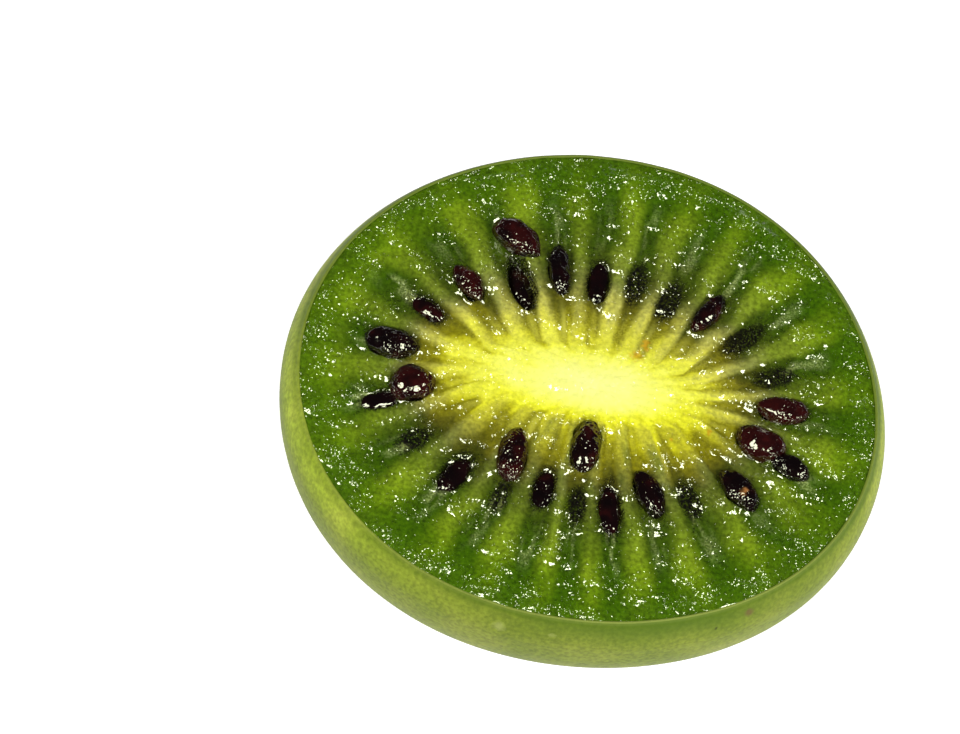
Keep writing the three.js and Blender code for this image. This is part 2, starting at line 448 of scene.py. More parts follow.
# %% [markdown]
# ## Skin
# The skin is smooth and thin, and its cut edge shows as a pale line round the face. A half ellipsoid would
# be quick, but the real fruit is widest a little below the cut and flatter underneath, so the outer wall
# is a superellipse below the widest section and an ellipse above it. The inner wall follows at the skin's
# thickness, which makes a closed shell. Masks on its corners mark the cut edge, with a painted highlight
# along the front, the dark band under it, with painted shade on the front, and painted light on the left
# and right sides.

# %% Skin rings
LOWER_RINGS = 26
UPPER_RINGS = 12
EDGE_ROUND = 0.04 * MM
EDGE_BEVEL = 0.3 * EDGE_ROUND
BULGE_HEIGHT = CUT_HEIGHT - BULGE_BELOW_CUT
SPOT_SHARE = RESTING_SPOT / FRUIT_LENGTH
LOWER_DEPTH = BULGE_HEIGHT / (1 - SPOT_SHARE**FULLNESS) ** (1 / FULLNESS)
UPPER_DEPTH = BULGE_BELOW_CUT / math.sqrt(1 - RIM_SHARE**2)


def wall():
    """Share and height of each ring of the outer wall, from the resting spot up to the cut."""
    spot_turn = math.asin(SPOT_SHARE ** (FULLNESS / 2))
    rings = [(SPOT_SHARE, 0.0)]
    for turn in steps_between(spot_turn, math.pi / 2, LOWER_RINGS):
        height = BULGE_HEIGHT - LOWER_DEPTH * max(math.cos(turn), 0) ** (2 / FULLNESS)
        rings.append((math.sin(turn) ** (2 / FULLNESS), height))
    for rise in steps_between(0, BULGE_BELOW_CUT, UPPER_RINGS):
        rings.append((math.sqrt(1 - (rise / UPPER_DEPTH) ** 2), BULGE_HEIGHT + rise))
    return rings


outer_wall = wall()
inner_wall = [(share, max(height, SKIN_THICKNESS)) for share, height in reversed(outer_wall[1:-1])]
# Each ring is a share of the widest section, a height and the margin that it is taken in by.
skin_rings = [(0.0, 0.0, 0.0)]
skin_rings += [(share, height, 0.0) for share, height in outer_wall[:-1]]
skin_rings += [
    (RIM_SHARE, CUT_HEIGHT - EDGE_ROUND, 0.0),
    (RIM_SHARE, CUT_HEIGHT - EDGE_BEVEL, EDGE_BEVEL),
    (RIM_SHARE, CUT_HEIGHT, EDGE_ROUND),
    (RIM_SHARE, CUT_HEIGHT, SKIN_THICKNESS - EDGE_ROUND),
    (RIM_SHARE, CUT_HEIGHT - EDGE_ROUND, SKIN_THICKNESS),
]
skin_rings += [(share, height, SKIN_THICKNESS) for share, height in inner_wall]
skin_rings += [(0.0, SKIN_THICKNESS, 0.0)]
print("skin rings:", len(skin_rings))

# %% Skin shape
SKIN_STEPS = 288
EDGE_WAVE = 0.05 * MM
EDGE_WAVES = 60
mean_radius = (FRUIT_LENGTH + FRUIT_WIDTH) / 4
skin_profile = [(max(share * mean_radius - margin, 0), height) for share, height, margin in skin_rings]
skin = turned_blank("skin", skin_profile, SKIN_STEPS)

place, phase = corners(skin)
shares, heights, margins = (np.array(column)[stations(skin)] for column in zip(*skin_rings))
below_cut = (CUT_HEIGHT - heights) / MM
place[:, :2] = np.where(shares > 0, body_plan(shares, phase, margins), 0).T
wave = ring_hills(np.zeros_like(phase), phase, EDGE_WAVES, 81) - 0.5
place[:, 2] = heights + EDGE_WAVE * wave * smooth(0.4, 0.0, below_cut)
put_corners(skin, place)
smooth_shade(skin)
print("skin triangles:", triangles(skin))

# %% Skin masks
FRONT_TURN = 290
LEFT_TURN, RIGHT_TURN = 209, 5
SIDE_SHARPNESS = 12
front = facing(phase, FRONT_TURN)
left = facing(phase, LEFT_TURN, SIDE_SHARPNESS)
right = facing(phase, RIGHT_TURN, SIDE_SHARPNESS)
# The cut edge's own pale line, with a painted highlight along the front.
edge = (0.4 + 0.6 * front**6) * smooth(0.06, 0.0, below_cut)
# Painted shade on the front below the cut; the narrow dark band just under the cut runs round all but the
# left.
painted_front_shade = front**SIDE_SHARPNESS * smooth(1.7, 0.0, below_cut)
dark_band = 0.85 * (1 - 0.85 * left) * smooth(0.5, 0.1, below_cut)
# Painted light: the left and right sides are lightened, most just under the cut.
sides = 0.75 * left + 0.5 * right + 0.25 * smooth(0.1, 0.5, below_cut)
paint(skin, "edge", edge)
paint(skin, "under", np.maximum(painted_front_shade, dark_band))
paint(skin, "pale", sides * (1 - front**6) * smooth(1.9, 0.5, below_cut))
print("strongest pale side:", round(float(sides.max()), 2))

# %% [markdown]
# ## Cut face
# The cut is nearly flat. Rays of firmer flesh run out from the core. They are widest at the core, pinched
# between the seeds, and wide again outside them. Flesh creeps up round every bare seed in a small wet
# fillet, covers the sunk ones, and is grainy with burst cells. A flat disc with a painted pattern would
# look printed, so the relief is real. The masks that shape it are also stored on its corners, and the
# colours follow them.

# %% Rays and chambers
ray_numbers = np.random.default_rng(7)
ray_strength = ray_numbers.uniform(0.6, 1.1, CHAMBER_COUNT)
ray_width = ray_numbers.uniform(0.85, 1.15, CHAMBER_COUNT)
frost_strength = ray_numbers.uniform(0.3, 1.2, CHAMBER_COUNT)
strand_strength = ray_numbers.uniform(0.0, 1.0, CHAMBER_COUNT)
# A ray's half width and soft edge by reach, as shares of the way from its middle to a chamber's
RAY_REACH = (0.0, 0.1, 0.2, 0.3, 0.4, 0.5, 0.6, 0.7, 0.8, 0.9)
RAY_HALF_WIDTH = (0.6, 0.44, 0.36, 0.31, 0.29, 0.31, 0.35, 0.37, 0.38, 0.38)
RAY_SOFTNESS = (0.4, 0.34, 0.29, 0.26, 0.25, 0.28, 0.33, 0.4, 0.44, 0.46)
RAY_WANDER, WANDER_SIZE = 0.22, 1.1
FIBRES, LUMPS = 6 * CHAMBER_COUNT, 2 * CHAMBER_COUNT
# Rays fade between the near seeds, and the flesh by the skin is paler on the left.
NEAR_FADE, NEAR_FADE_BELT = 0.3, (0.0, 0.25, 0.48, 0.64)
LEFT_PALE, LEFT_PALE_TURN, LEFT_SHARPNESS = 0.7, 165, 7


def ray_masks(reach, phase, x, y):
    """Each place's share in a ray, its fibres, and how far it lies from the middle of which chamber."""
    wander = RAY_WANDER * uneven(x, y, WANDER_SIZE, 3)
    turns = CHAMBER_COUNT * (phase - FIRST_CHAMBER) / math.tau + wander
    ray_number = np.floor(turns).astype(int) % CHAMBER_COUNT
    chamber = np.floor(turns + 0.5).astype(int) % CHAMBER_COUNT
    from_chamber = np.abs(turns - np.floor(turns + 0.5)) * 2
    half_width = np.interp(reach, RAY_REACH, RAY_HALF_WIDTH) * ray_width[ray_number]
    softness = np.interp(reach, RAY_REACH, RAY_SOFTNESS)
    ray = smooth(1 - half_width - softness, 1 - half_width + softness, from_chamber)
    fibres = ring_hills(reach * 7, phase, FIBRES, 31)
    lumps = ring_hills(reach * 5, phase, LUMPS, 33)
    ray *= ray_strength[ray_number] * (0.45 + 0.5 * fibres + 0.6 * lumps)
    ray *= 1 - NEAR_FADE * (nearness(phase) + 0.35) * belt(reach, *NEAR_FADE_BELT)
    ray += LEFT_PALE * facing(phase, LEFT_PALE_TURN, LEFT_SHARPNESS) * smooth(0.7, 0.88, reach)
    return ray, fibres, from_chamber, chamber


print("rays and chambers:", CHAMBER_COUNT)

# %% Marks round the seeds
FILLET = 0.09
FILLET_REACH = 0.26
PIT = 0.7
HALF_PIT = 0.35 * PIT
COVER_RISE = 0.06
HOLLOW_DEPTH = 0.75
CREEP, CREEP_SIZE = 0.3, 0.4
FUZZ, FUZZ_SIZE = 0.4, 0.13
# The dark round a seed: its strength, where it starts and is full by seed distance, and how ragged it is.
# Round bare seeds and in the hollow it is painted shade; round half sunk and sunk seeds it is the seed
# itself.
BARE_SEED_SHADE = (0.4, 1.25, 0.9, 0.4)
HALF_SUNK_DARK = (0.85, 1.3, 0.85, 0.35)
SUNK_DARK = (1.0, 1.2, 0.65, 0.7)
HOLLOW_SHADE = (1.0, 1.25, 0.8, 0.4)


def seed_dark_and_shade(gap, fuzz, strength, start, full, ragged):
    return strength * smooth(start, full, gap + ragged * fuzz)


def seed_marks(x, y):
    """Relief round the seeds in millimetres, the dark of covered seeds and painted shade round bare seeds
    and in the hollow, and where juice gathers.
    """
    relief, dark, juice = (np.zeros_like(x) for _ in range(3))
    creep = CREEP * uneven(x, y, CREEP_SIZE, 45)
    fuzz = FUZZ * uneven(x, y, FUZZ_SIZE, 61)
    for seed in seeds_bare + seeds_half:
        bare = seed["lift"] >= 0
        gap = seed_distance(seed, x, y) + creep
        relief += FILLET * np.exp(-np.clip(gap - 1, 0, 9) / FILLET_REACH)
        relief -= (PIT if bare else HALF_PIT) * smooth(0.95, 0.6, gap)
        # Painted shade round a bare seed's pit; round a half sunk seed, the seed showing through the
        # flesh.
        dark = np.maximum(dark, seed_dark_and_shade(gap, fuzz, *(BARE_SEED_SHADE if bare else HALF_SUNK_DARK)))
        juice = np.maximum(juice, smooth(1.9, 1.3, gap))
    for seed in seeds_sunk:
        gap = seed_distance(seed, x, y)
        relief += COVER_RISE * smooth(1.1, 0.2, gap)
        dark = np.maximum(dark, seed_dark_and_shade(gap, fuzz, *SUNK_DARK))
    gap = seed_distance(hollow, x, y)
    # Painted shade in the hollow that the stray seed left.
    relief -= HOLLOW_DEPTH * smooth(1.05, 0.6, gap)
    dark = np.maximum(dark, seed_dark_and_shade(gap, fuzz, *HOLLOW_SHADE))
    return relief, dark, juice


print("fillet in mm:", FILLET)

# %% Relief of the cut
# Heights and sizes in millimetres, and belts by reach: start, full, fade and gone
CHAMBER_DEPTH, CHAMBER_BELT = 0.1, (0.03, 0.3, 0.75, 0.95)
SWELL_HEIGHT, SWELL_SIZE = 0.08, 1.6
CELL_HEIGHT, CELL_SIZE, PATCH_SIZE = 0.05, 0.3, 0.8
FIBRE_HEIGHT, FIBRE_BELT = 0.07, (0.02, 0.15, 0.6, 0.85)
RIM_DROP = 0.08


def cut_relief(reach, x, y, ray, fibres):
    """Sunken chambers, slow swells, burst cells, fibres and the drop at the rim, in millimetres."""
    relief = -CHAMBER_DEPTH * belt(reach, *CHAMBER_BELT) * (1 - np.clip(ray, 0, 1))
    relief += SWELL_HEIGHT * uneven(x, y, SWELL_SIZE, 11)
    patches = 0.3 + 0.9 * hills(x / PATCH_SIZE, y / PATCH_SIZE, 41)
    relief += CELL_HEIGHT * pearls(x / CELL_SIZE, y / CELL_SIZE, 21) * patches
    relief += FIBRE_HEIGHT * (fibres - 0.5) * belt(reach, *FIBRE_BELT)
    return relief - RIM_DROP * smooth(0.93, 1.0, reach)


print("chamber depth in mm:", CHAMBER_DEPTH)

# %% Reach for the colours
# The colours follow the reach, but fibres make them ragged. The core's yellow comes further out at its
# left end, in the near chambers and in the far rays, and less far in the middle of the near side. In the
# near chambers this is a painted glow of light through the flesh.
FIBRE_SHIFT, FIBRE_SHIFT_BELT = 0.2, (-0.45, -0.05, 0.1, 0.4)
CORE_EDGE_BELT = (-0.45, -0.1, 0.15, 0.4)
RAY_SHIFT, NEAR_CHAMBER_SHIFT, FAR_CHAMBER_SHIFT = 0.06, 0.1, 0.03
NEAR_MIDDLE_SHIFT, NEAR_MIDDLE_TURN = 0.08, 255
RAY_ROOT_SHIFT, RAY_ROOT_BELT = 0.05, (-0.5, -0.2, -0.1, 0.05)
LEFT_END_SHIFT, LEFT_END_BELT = 0.15, (-0.45, -0.1, 0.25, 0.5)


def left_end(phase):
    return facing(phase, turn=180, sharpness=8)


def colour_reach(reach, phase, ray, fibres):
    near = nearness(phase)
    share = np.clip(ray, 0, 1)
    # Near chambers: the yellow moved outwards is a painted glow of light through the flesh.
    chamber_shift = np.where(near > 0, NEAR_CHAMBER_SHIFT, FAR_CHAMBER_SHIFT)
    near_middle = np.clip(np.cos(angle_at(phase) - math.radians(NEAR_MIDDLE_TURN)), 0, 1) ** 3
    edge = near * (RAY_SHIFT * share - chamber_shift * (1 - share)) + NEAR_MIDDLE_SHIFT * near_middle
    moved = reach + edge * belt(reach, *CORE_EDGE_BELT)
    moved += FIBRE_SHIFT * (fibres - 0.5) * belt(reach, *FIBRE_SHIFT_BELT)
    moved += RAY_ROOT_SHIFT * share * belt(reach, *RAY_ROOT_BELT)
    return moved - LEFT_END_SHIFT * left_end(phase) * belt(reach, *LEFT_END_BELT)


print("left end moved by a reach of", LEFT_END_SHIFT)

# %% Specks, stains and wetness
FROST, FROST_BELT = 0.6, (0.46, 0.57, 0.68, 0.84)
STREAKS = 2 * FIBRES
# Pale crumbs round the core, with painted glints among them, thicker on the far side
CRUMBS_AND_GLINTS, FAR_PAINTED_GLINTS, CRUMB_AND_GLINT_BELT = 0.2, 0.08, (-0.1, 0.02, 0.08, 0.22)
# Orange flecks by the core: x, y and radius in millimetres
STAINS = ((2.16, 2.34, 0.2), (1.83, 1.73, 0.24), (3.75, -2.08, 0.11), (5.33, -1.4, 0.11))
STAIN_STRENGTH, STAIN_GRAIN = 0.55, 0.12
END_BELT = (0.0, 0.15, 0.5, 0.8)


def speck_mask(reach, phase, from_chamber, chamber):
    """Frosted streaks along the middle of the chambers, and pale crumbs round the core with painted
    glints.
    """
    streaks = ring_hills(reach * 12, phase, STREAKS, 37)
    frost = FROST * frost_strength[chamber] * smooth(0.42, 0.08, from_chamber)
    frost *= smooth(0.38, 0.72, streaks) * belt(reach, *FROST_BELT)
    # Pale crumbs, partly painted glints, more of them on the far side.
    crumbs = (CRUMBS_AND_GLINTS - FAR_PAINTED_GLINTS * nearness(phase)) * belt(reach, *CRUMB_AND_GLINT_BELT)
    return np.maximum(frost, crumbs)


def stain_mask(x, y):
    stain = np.zeros_like(x)
    ragged = 1.6 * uneven(x, y, STAIN_GRAIN, 91)
    for spot_x, spot_y, radius in STAINS:
        gap = np.hypot(x - spot_x, y - spot_y) / radius + ragged
        stain = np.maximum(stain, STAIN_STRENGTH * smooth(1.4, 0.3, gap))
    return stain


def wetness(reach, phase, juice):
    """The share of the film's facets that lean, which sets how thickly the face sparkles."""
    ends = np.cos(angle_at(phase)) ** 4 * belt(reach, *END_BELT)
    outer = 0.16 * smooth(0.5, 0.7, reach) + 0.7 * smooth(0.82, 0.95, reach)
    return 0.36 + 0.1 * ends + outer - 0.08 * juice


print("stains:", len(STAINS))

# %% All marks of the face
STRAND_SHARE, STRAND_HEIGHT, STRAND_BELT = 0.6, 0.05, (-0.05, 0.06, 0.06, 0.3)
# Where the painted glow of light through the flesh lies on the near side, by reach
NEAR_GLOW_BELT = (-0.45, -0.15, 0.1, 0.35)
MARKS = ("reach", "ray", "speck", "covered_seed_and_shade", "strand", "stain", "wet", "painted_near_glow")


def face_marks(reach, phase, x, y):
    """Relief in millimetres and colour masks of the cut face, for places given in millimetres."""
    ray, fibres, from_chamber, chamber = ray_masks(reach, phase, x, y)
    # The seeds' dark: covered seeds seen through the flesh, and painted shade by bare seeds and in the
    # hollow.
    relief, dark, juice = seed_marks(x, y)
    strand = STRAND_SHARE * strand_strength[chamber] * smooth(0.35, 0.05, from_chamber) * fibres
    strand *= belt(reach, *STRAND_BELT)
    # Painted glow of light through the flesh: the near side round the core is made more golden.
    painted_near_glow = smooth(-0.2, 0.6, nearness(phase)) * (1 - left_end(phase)) * belt(reach, *NEAR_GLOW_BELT)
    return {
        "relief": relief + cut_relief(reach, x, y, ray, fibres) + STRAND_HEIGHT * strand,
        "reach": colour_reach(reach, phase, ray, fibres),
        "ray": ray,
        "speck": speck_mask(reach, phase, from_chamber, chamber),
        "covered_seed_and_shade": dark,
        "strand": strand,
        "stain": stain_mask(x, y),
        "wet": wetness(reach, phase, juice),
        "painted_near_glow": painted_near_glow,
    }


print("marks on the face:", MARKS)

# %% Flesh rings
FACE_RINGS = 118
POCKET_RINGS = 4
WALL_STRIDE = 5
CORE_FLOOR = 1.75 * MM
CORE_TAPER = 0.35
FLESH_GAP = 0.01 * MM
FLESH_MARGIN = SKIN_THICKNESS + FLESH_GAP
blank_core = (CORE_LENGTH + CORE_WIDTH) / 4
blank_rim = mean_radius * RIM_SHARE - SKIN_THICKNESS
pocket_wall = [(CORE_TAPER, CORE_FLOOR)]
for part in steps_between(0, 1, POCKET_RINGS)[:-1]:
    pocket_share = 1 - (1 - CORE_TAPER) * (1 - part) ** 2
    pocket_wall.append((pocket_share, CORE_FLOOR + (CUT_HEIGHT - CORE_FLOOR) * part))
outside_rings = [ring for ring in inner_wall[::WALL_STRIDE] if ring[1] > SKIN_THICKNESS]

# Each ring is its zone, how far along that zone it lies, and its height.
flesh_rings = [("pocket", 0.0, CORE_FLOOR)]
flesh_rings += [("pocket", share, height) for share, height in pocket_wall]
flesh_rings += [("face", reach, CUT_HEIGHT) for reach in [0.0] + steps_between(0, 1, FACE_RINGS)]
flesh_rings += [("wall", share, height) for share, height in outside_rings]
flesh_rings += [("wall", 0.0, FLESH_MARGIN)]
print("flesh rings:", len(flesh_rings))

# %% Flesh shape
FACE_STEPS = 736


def blank_point(zone, along, height):
    if zone == "pocket":
        return (blank_core * along, height)
    if zone == "face":
        return (blank_core + (blank_rim - blank_core) * along, height)
    return (max(mean_radius * along - SKIN_THICKNESS, 0), height)


flesh = turned_blank("flesh_pulp", [blank_point(*ring) for ring in flesh_rings], FACE_STEPS)
place, phase = corners(flesh)
zone, along, height = (np.array(column)[stations(flesh)] for column in zip(*flesh_rings))
on_face, in_pocket, in_wall = (zone == name for name in ("face", "pocket", "wall"))
place[in_pocket, :2] = (core_plan(phase) * along).T[in_pocket]
place[in_wall, :2] = (body_plan(along, phase, FLESH_MARGIN) * (along > 0)).T[in_wall]
place[on_face, :2] = face_plan(along, phase).T[on_face]
place[:, 2] = np.where(in_wall, np.maximum(height, FLESH_MARGIN), height)
reach = np.where(on_face, along, np.where(in_pocket, 0.0, 1.0))
marks = face_marks(reach, phase, place[:, 0] / MM, place[:, 1] / MM)
place[on_face, 2] += marks["relief"][on_face] * MM
put_corners(flesh, place)
smooth_shade(flesh)
for name in MARKS:
    paint(flesh, name, marks[name])
print("flesh triangles:", triangles(flesh))

# %% [markdown]
# ## Core
# The core is the firm pale middle that the seeds hung from. At the cut it is a long oval whose edge swells
# into every ray. It is turned as a plug that tapers down, with as many steps as the flesh, so the two meet
# corner to corner and the cut runs on from one to the other.

# %% Core shape
TOP_RINGS = 40
CORE_CROWN = 0.1 * MM
CORE_WET, CORE_EDGE_WET = 0.16, 0.22
core_rings = [(0.0, CORE_FLOOR)] + pocket_wall
core_wall_count = len(core_rings)
core_rings += [(1 - part, CUT_HEIGHT) for part in [0.0] + steps_between(0, 1, TOP_RINGS)]
core_profile = [(blank_core * share, height) for share, height in core_rings]
core = turned_blank("core_pith", core_profile, FACE_STEPS)

place, phase = corners(core)
share, height = (np.array(column)[stations(core)] for column in zip(*core_rings))
on_top = stations(core) >= core_wall_count
place[:, :2] = (core_plan(phase) * share).T
place[:, 2] = height
reach = np.where(on_top, share - 1, 0)
marks = face_marks(reach, phase, place[:, 0] / MM, place[:, 1] / MM)
place[on_top, 2] += (marks["relief"] * MM + CORE_CROWN * (1 - share**2))[on_top]
put_corners(core, place)
smooth_shade(core)
marks["wet"] = CORE_WET + CORE_EDGE_WET * smooth(0.5, 1.0, share)
for name in MARKS:
    paint(core, name, marks[name])
print("core triangles:", triangles(core))

# %% [markdown]
# ## Seeds
# A hardy kiwi's seed is a plump drop, slimmer at the end that hung from the core, with a finely pitted
# coat. One master is shaped from a ball and copied to every place. Each copy gets its own size, turn and
# taper, a bend to one side, and its own dents and pits. The stray seed shows its whole drop, so it tapers
# most.

# %% Seed master
SEED_SEGMENTS = 52
SEED_BALL_RINGS = 36
SEED_BLUNT = 0.86


def master_seed():
    """A ball of radius 1, with its poles and its blunt ends along X."""
    bpy.ops.object.select_all(action="DESELECT")
    bpy.ops.mesh.primitive_uv_sphere_add(segments=SEED_SEGMENTS, ring_count=SEED_BALL_RINGS, radius=1)
    ball = bpy.context.object
    bpy.ops.object.mode_set(mode="EDIT")
    bpy.ops.mesh.select_all(action="SELECT")
    bpy.ops.transform.rotate(value=math.pi / 2, orient_axis="Y", center_override=(0, 0, 0))
    bpy.ops.object.mode_set(mode="OBJECT")
    shape, _ = corners(ball)
    shape[:, 0] = np.sign(shape[:, 0]) * np.abs(shape[:, 0]) ** SEED_BLUNT
    put_corners(ball, shape)
    return ball


master = master_seed()
print("master seed triangles:", triangles(master))

# %% Seed shape
SEED_TAPER = 0.22
PROUD_TAPER = 5
TAPER_CURVE = 1.6
SEED_BEND = 0.2
SEED_THICKNESS_SHARE = 0.8
# Sizes and depths in millimetres
PIT_SIZE, PIT_DEPTH = 0.2, 0.03
DENT_SIZE, DENT_DEPTH = 0.6, 0.12
# A pale fleck of torn coat: x, y and radius in millimetres
FLECK = (7.06, -4.26, 0.12)
FLECK_STRENGTH, FLECK_GRAIN = 0.8, 0.11


def own_number(number, kind):
    """A steady number from 0 to 1 for one trait of one seed."""
    return lattice(np.array(number), np.array(kind), 9)


def fleck_mask(x, y):
    gap = np.hypot(x - FLECK[0], y - FLECK[1]) / FLECK[2]
    gap += 1.4 * uneven(x, y, FLECK_GRAIN, 97)
    return FLECK_STRENGTH * smooth(1.3, 0.5, gap)


def placed_seed(seed, number):
    """A copy of the master at one seed's place and size, with a bend, dents and pits of its own."""
    copy = master.copy()
    copy.data = master.data.copy()
    bpy.context.collection.objects.link(copy)
    shape, _ = corners(copy)
    half = np.array([seed["length"], seed["width"], seed["width"] * SEED_THICKNESS_SHARE]) / 2
    outward = shape / np.linalg.norm(shape, axis=1)[:, None]
    character = own_number(number, 5)
    around = np.arctan2(shape[:, 2], shape[:, 1]) * half[1]
    along = shape[:, 0] * half[0]
    pits = pearls(along / PIT_SIZE, around / PIT_SIZE, 100 + number)
    dents = uneven(along, around, DENT_SIZE, 200 + number)
    taper = SEED_TAPER * (0.5 + own_number(number, 6) + PROUD_TAPER * max(seed["lift"] - BARE_LIFT, 0))
    shape[:, 1:] *= (1 - taper * np.clip(-shape[:, 0], 0, 1) ** TAPER_CURVE)[:, None]
    shape[:, 1] += SEED_BEND * (2 * character - 1) * (shape[:, 0] ** 2 - 0.5)
    shape = shape * half - outward * (PIT_DEPTH * pits**2 + DENT_DEPTH * dents)[:, None]
    ahead, aside = math.cos(seed["heading"]), math.sin(seed["heading"])
    shape[:, :2] = shape[:, :2] @ np.array([[ahead, aside], [-aside, ahead]]) + (seed["x"], seed["y"])
    shape[:, 2] += CUT_HEIGHT / MM + seed["lift"]
    put_corners(copy, shape * MM)
    paint(copy, "pit", pits)
    paint(copy, "tint", np.full(len(shape), character if seed["lift"] >= 0 else 0.5 * character))
    paint(copy, "fleck", fleck_mask(shape[:, 0], shape[:, 1]))
    return copy


all_seeds = seeds_bare + [stray] + seeds_half + seeds_sunk + [hollow]
copies = [placed_seed(seed, number) for number, seed in enumerate(all_seeds)]
bpy.data.objects.remove(master)
bpy.ops.object.select_all(action="DESELECT")
for copy in copies:
    copy.select_set(True)
bpy.context.view_layer.objects.active = copies[0]
bpy.ops.object.join()
seeds = bpy.context.object
seeds.name = "seeds"
bpy.ops.object.shade_smooth()
print("seeds:", len(all_seeds), "triangles:", triangles(seeds))

# %% [markdown]
# ## Node helpers
# Every finish below is a small net of shader nodes. Wiring each node by hand would hide the idea of a
# finish, so one helper adds a node, sets its values and links its inputs. Each finish then reads from the
# pattern at the top to the shader at the bottom. Colours are written as they should look under the lamps.

# %% Node helpers
# How the mix of lamps colours a white thing
WARMTH = (1.0, 1.03, 0.73)


def linear(red, green, blue):
    """A colour as the screen shows it under the warm lamps, from 0 to 255, as the shader counts light."""
    parts = [value / 255 for value in (red, green, blue)]
    light = [part / 12.92 if part <= 0.04045 else ((part + 0.055) / 1.055) ** 2.4 for part in parts]
    return (*(part / tone for part, tone in zip(light, WARMTH)), 1)


def feed(tree, socket, value):
    """Link a socket to another, or set it to a plain value."""
    if isinstance(value, bpy.types.NodeSocket):
        tree.links.new(value, socket)
    else:
        socket.default_value = value


def add(tree, kind, inputs=None, **settings):
    """A new shader node with its settings and inputs."""
    made = tree.nodes.new("ShaderNode" + kind)
    for name, value in settings.items():
        setattr(made, name, value)
    for name, value in (inputs or {}).items():
        feed(tree, made.inputs[name], value)
    return made


def ramp(tree, factor, stops):
    """A colour ramp through (position, red, green, blue) stops."""
    made = add(tree, "ValToRGB", {"Fac": factor})
    band = made.color_ramp
    while len(band.elements) < len(stops):
        band.elements.new(0.5)
    for element, (position, red, green, blue) in zip(band.elements, stops):
        element.position = position
        element.color = linear(red, green, blue)
    return made.outputs["Color"]


def mix(tree, factor, first, second, blend="MIX"):
    made = add(tree, "Mix", data_type="RGBA", blend_type=blend)
    for index, value in ((0, factor), (6, first), (7, second)):
        feed(tree, made.inputs[index], value)
    return made.outputs[2]


def math_node(tree, operation, first, second):
    return add(tree, "Math", {0: first, 1: second}, operation=operation).outputs[0]


def times(tree, first, second):
    return math_node(tree, "MULTIPLY", first, second)


def plus(tree, first, second):
    return math_node(tree, "ADD", first, second)


def vector_node(tree, operation, first, second, output="Vector"):
    return add(tree, "VectorMath", {0: first, 1: second}, operation=operation).outputs[output]


print("white under the lamps:", [round(value, 2) for value in linear(255, 255, 255)])


# %% Pattern and shader helpers
def span(tree, value, start, end, low=0.0, high=1.0):
    """A value carried from one span of numbers to another, held at the ends."""
    inputs = {"Value": value, "From Min": start, "From Max": end, "To Min": low, "To Max": high}
    return add(tree, "MapRange", inputs).outputs["Result"]


def object_place(tree):
    return add(tree, "TexCoord").outputs["Object"]


def noise(tree, scale, detail=1.0):
    """A cloudy pattern fixed to the object, with its scale in clouds to a metre."""
    inputs = {"Vector": object_place(tree), "Scale": scale, "Detail": detail}
    return add(tree, "TexNoise", inputs).outputs["Fac"]


def attribute(tree, name):
    return add(tree, "Attribute", attribute_name=name).outputs["Fac"]


def bump(tree, height, depth):
    return add(tree, "Bump", {"Height": height, "Distance": depth, "Strength": 1.0}).outputs["Normal"]


def laid_over(tree, colour, mark, tone, share=1.0):
    """A colour with a tone over it where a mark on the corners says, at a share of the mark."""
    return mix(tree, times(tree, attribute(tree, mark), share), colour, tone)


def lay_surface(tree, shader, colour, height, depth):
    """Give the shader its colour, and a bump as deep as its grain."""
    tree.links.new(colour, shader.inputs["Base Color"])
    tree.links.new(bump(tree, height, depth), shader.inputs["Normal"])


def new_finish(name):
    """A material with only its shader, and the tree and shader to build on."""
    finish = bpy.data.materials.new(name)
    finish.use_nodes = True
    return finish, finish.node_tree, finish.node_tree.nodes["Principled BSDF"]


print("node helpers ready")

# %% [markdown]
# ## Shared effects
# Flesh, core, skin and seeds all have a fine grain, so it is made once as a node group. It gives a height
# for the bump, a slow mottle, and sharp little speckles. Grain size is given as grains to a metre, because
# the coordinates are in metres. The film of juice is a clear coat with small waves of its own, laid over
# the grain. It lies in calm and rough patches, which is why the sparkles come in clusters.


# %% Grain group
def grain_group():
    group = bpy.data.node_groups.new("moist grain", "ShaderNodeTree")
    group.interface.new_socket("Cells per metre", in_out="INPUT", socket_type="NodeSocketFloat")
    for name in ("Height", "Mottle", "Speckle"):
        group.interface.new_socket(name, in_out="OUTPUT", socket_type="NodeSocketFloat")
    scale = group.nodes.new("NodeGroupInput").outputs[0]
    leave = group.nodes.new("NodeGroupOutput")
    cells = add(group, "TexVoronoi", {"Vector": object_place(group), "Scale": scale})
    fine = noise(group, times(group, scale, 3.2))
    slow = noise(group, times(group, scale, 0.28), 3.0)
    dome = math_node(group, "SUBTRACT", 1.0, cells.outputs["Distance"])
    total = plus(group, times(group, dome, slow), times(group, fine, 0.4))
    group.links.new(total, leave.inputs["Height"])
    group.links.new(slow, leave.inputs["Mottle"])
    group.links.new(span(group, fine, 0.42, 0.68), leave.inputs["Speckle"])
    return group


GRAIN = grain_group()


def grain(tree, cells_per_metre):
    made = tree.nodes.new("ShaderNodeGroup")
    made.node_tree = GRAIN
    made.inputs["Cells per metre"].default_value = cells_per_metre
    return made


print("grain group sockets:", [item.name for item in GRAIN.interface.items_tree])

# %% Wet film
# Facets, drifts and patches to a metre, how steeply a facet leans, and how far its edges drift
FACETS, DRIFTS, PATCHES = 18500.0, 3000.0, 800.0
FACET_SLOPE = 0.78
FACET_DRIFT = 0.25 * MM
FILM_ROUGHNESS = 0.09


